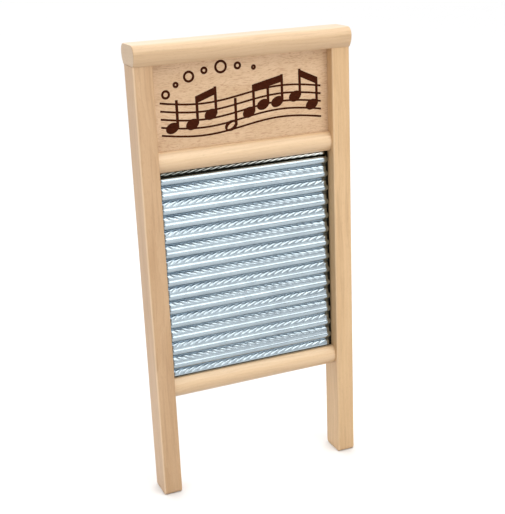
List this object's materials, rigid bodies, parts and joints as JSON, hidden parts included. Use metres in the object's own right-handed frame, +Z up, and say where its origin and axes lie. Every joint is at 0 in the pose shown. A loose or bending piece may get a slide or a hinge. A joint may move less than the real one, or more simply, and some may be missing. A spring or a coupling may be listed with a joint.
{
  "type": "washboard",
  "caption": "Pail-size wooden washboard: round-faced rails nailed between two stiles, plain header panel with an engraved ornament, ribbed galvanised rubbing sheet, two feet.",
  "frame": {"origin": "on the floor, midway between the two feet and midway between front and back", "axes": "+Z up along the stiles, +Y to the back, +X to the right seen from the rubbing side, which faces -Y"},
  "size_m": [0.219, 0.0396, 0.4572],
  "materials": {
    "frame_wood": "pale close-grained hardwood, sanded, satin",
    "panel_wood": "thin plywood with short fine flecks, and a dark burnt ornament in shallow engraving",
    "galvanised_sheet": "bright galvanised, smooth and fluted ridges by turns",
    "nail_steel": "bright wire nail"
  },
  "bodies": {
    "root": {"left_stile": "frame_wood", "right_stile": "frame_wood", "top_rail": "frame_wood", "middle_rail": "frame_wood", "bottom_rail": "frame_wood", "header_panel": "panel_wood", "rubbing_sheet": "galvanised_sheet", "top_left_nails": "nail_steel", "top_right_nails": "nail_steel", "middle_left_nails": "nail_steel", "middle_right_nails": "nail_steel", "bottom_left_nails": "nail_steel", "bottom_right_nails": "nail_steel"}
  },
  "joints": []
}
